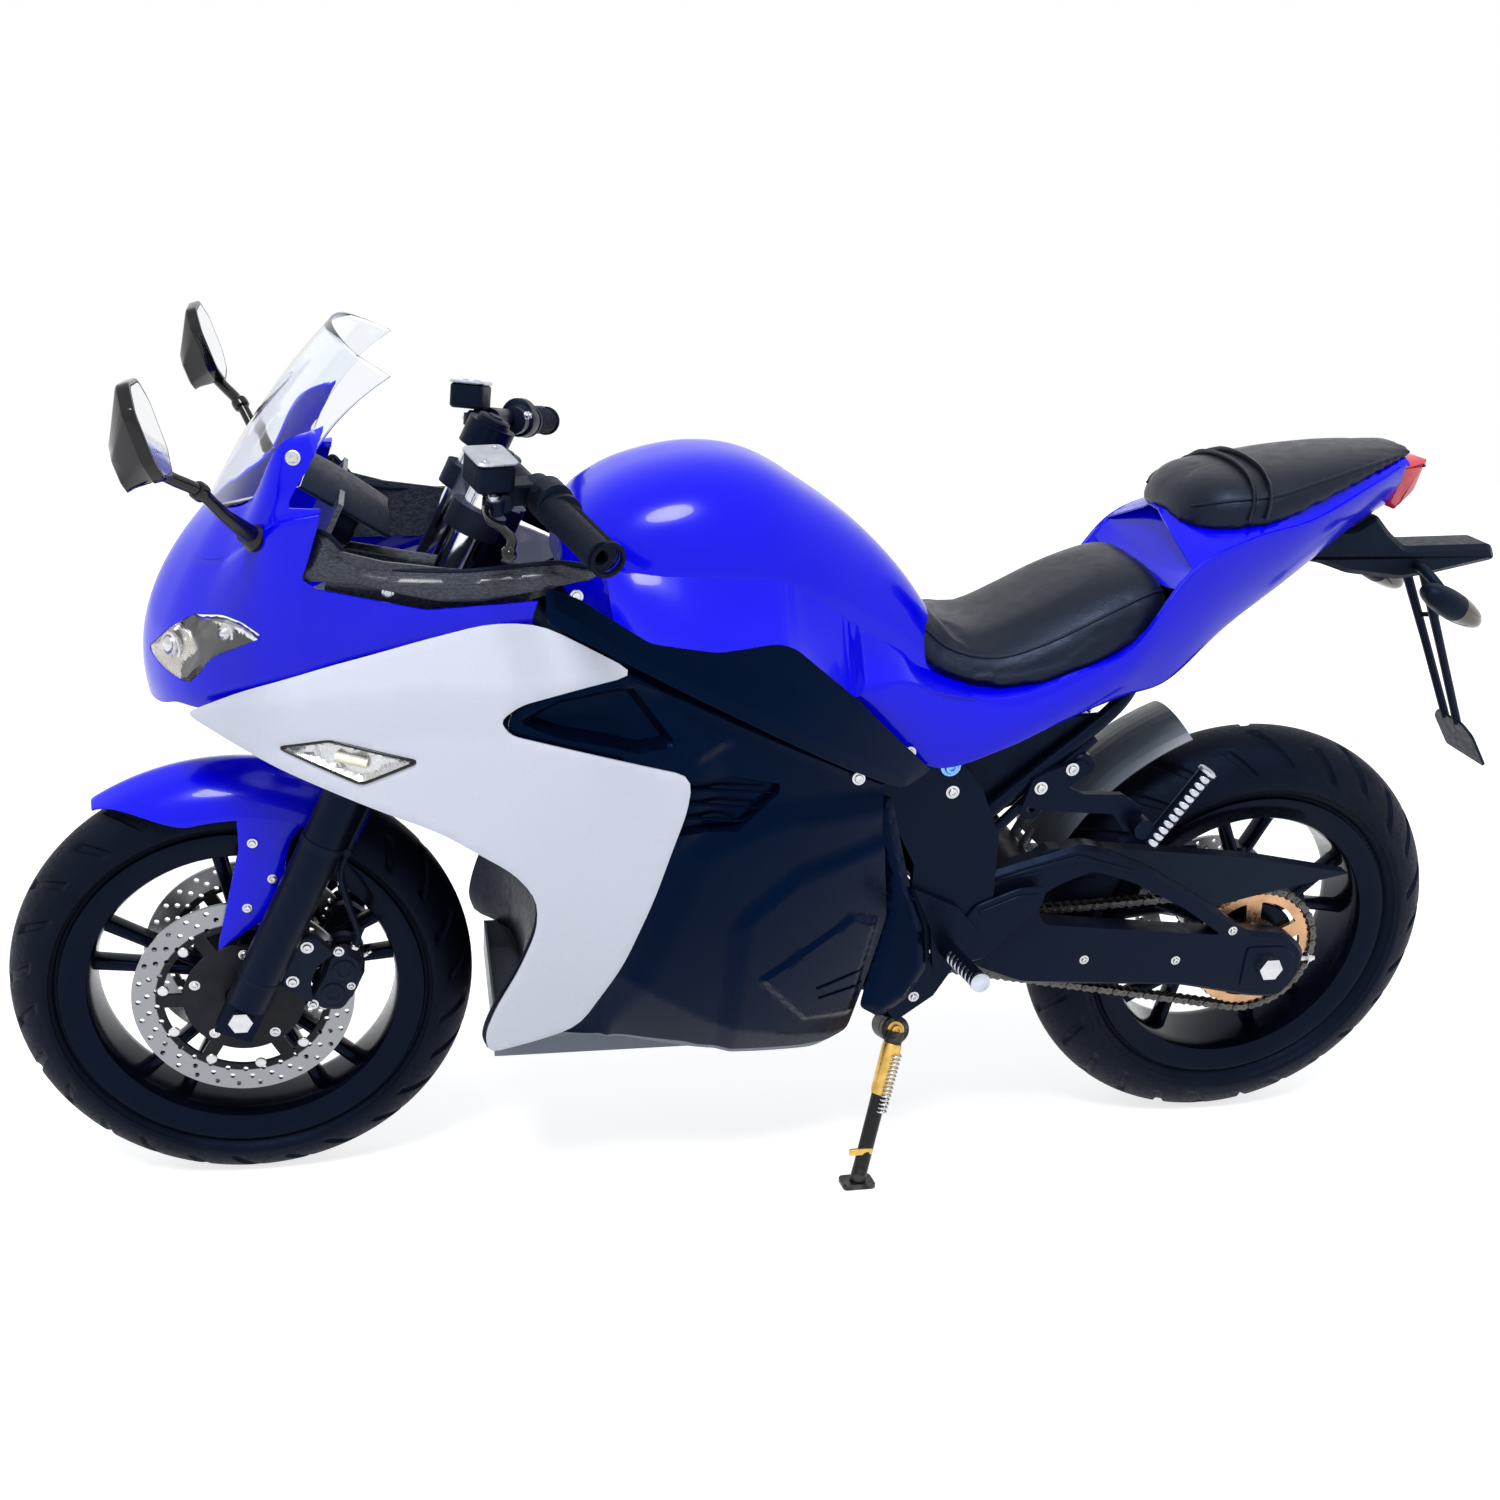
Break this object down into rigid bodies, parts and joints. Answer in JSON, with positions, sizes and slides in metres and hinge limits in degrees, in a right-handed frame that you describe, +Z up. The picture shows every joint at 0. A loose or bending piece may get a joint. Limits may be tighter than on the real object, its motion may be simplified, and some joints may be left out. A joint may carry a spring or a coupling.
{
  "type": "electric sport motorcycle",
  "caption": "Fully faired electric sport motorcycle leaning on its side stand, with turning wheels, a fork that steers and a stand that folds.",
  "frame": {"origin": "on the floor, under the middle of the parked motorcycle's outline", "axes": "+X forward along the wheel line, +Y to the motorcycle's left, +Z up"},
  "size_m": [2.0507, 0.7309, 1.1453],
  "materials": {
    "frame_black": "satin",
    "battery_case": "matte",
    "motor_case": "satin",
    "shock_steel": "satin",
    "chain_steel": "satin",
    "plastic_black": "matte",
    "hugger_grey": "satin",
    "bolt_steel": "brushed",
    "caliper_black": "satin",
    "body_blue": "gloss",
    "screen_clear": "clear",
    "lamp_lens": "gloss",
    "trim_carbon": "woven gloss",
    "gloss_black": "gloss",
    "body_white": "gloss",
    "turn_lens": "clear lens",
    "turn_lens_rear": "smoked lens",
    "panel_black": "gloss",
    "seat_black": "grained",
    "tail_red": "gloss",
    "peg_alloy": "satin",
    "tube_chrome": "polished",
    "grip_rubber": "matte",
    "rim_black": "gloss",
    "tyre_black": "matte",
    "disc_steel": "brushed",
    "sprocket_bronze": "satin",
    "stand_black": "satin"
  },
  "bodies": {
    "chassis": {"frame": "frame_black", "subframe": "frame_black", "battery_pack": "battery_case", "motor": "motor_case", "swingarm": "frame_black", "rear_shock": "shock_steel", "chain": "chain_steel", "chain_guard": "plastic_black", "hugger": "hugger_grey", "rear_axle": "bolt_steel", "rear_caliper": "caliper_black", "tank_cover": "body_blue", "nose_fairing": "body_blue", "windscreen": "screen_clear", "headlights": "lamp_lens", "cockpit_trim": "trim_carbon", "dash": "gloss_black", "mirrors": "plastic_black", "side_fairings": "body_white", "front_indicators": "turn_lens", "mid_panels": "panel_black", "lower_panels": "panel_black", "case_covers": "panel_black", "belly_pan": "plastic_black", "rider_seat": "seat_black", "passenger_seat": "seat_black", "tail_cowl": "body_blue", "tail_light": "tail_red", "rear_fender": "plastic_black", "rear_indicators": "turn_lens_rear", "rider_pegs": "peg_alloy", "passenger_pegs": "peg_alloy"},
    "steering": {"fork_sliders": "caliper_black", "fork_tubes": "tube_chrome", "yokes": "frame_black", "handlebars": "frame_black", "grips": "grip_rubber", "controls": "plastic_black", "front_fender": "body_blue", "front_calipers": "caliper_black", "front_axle": "bolt_steel"},
    "front_wheel": {"front_rim": "rim_black", "front_tyre": "tyre_black", "front_discs": "disc_steel"},
    "rear_wheel": {"rear_rim": "rim_black", "rear_tyre": "tyre_black", "rear_sprocket": "sprocket_bronze", "rear_disc": "disc_steel"},
    "side_stand": {"side_stand": "stand_black"}
  },
  "joints": [
    {"name": "steering", "type": "hinge", "parent": "chassis", "child": "steering", "pos_m": [0.70377, -0.12399, 0.27523], "axis": [-0.4067, 0.1665, 0.8982], "range_deg": [-27, 27]},
    {"name": "front_wheel_spin", "type": "hinge", "parent": "steering", "child": "front_wheel", "pos_m": [0.733, -0.12162, 0.28803], "axis": [0, 0.9833, -0.1822], "continuous": true},
    {"name": "rear_wheel_spin", "type": "hinge", "parent": "chassis", "child": "rear_wheel", "pos_m": [-0.677, -0.11756, 0.30991], "axis": [0, 0.9833, -0.1822], "continuous": true},
    {"name": "side_stand", "type": "hinge", "parent": "chassis", "child": "side_stand", "pos_m": [-0.127, -0.00577, 0.21069], "axis": [0, 0.9806, 0.1959], "range_deg": [0, 92]}
  ]
}
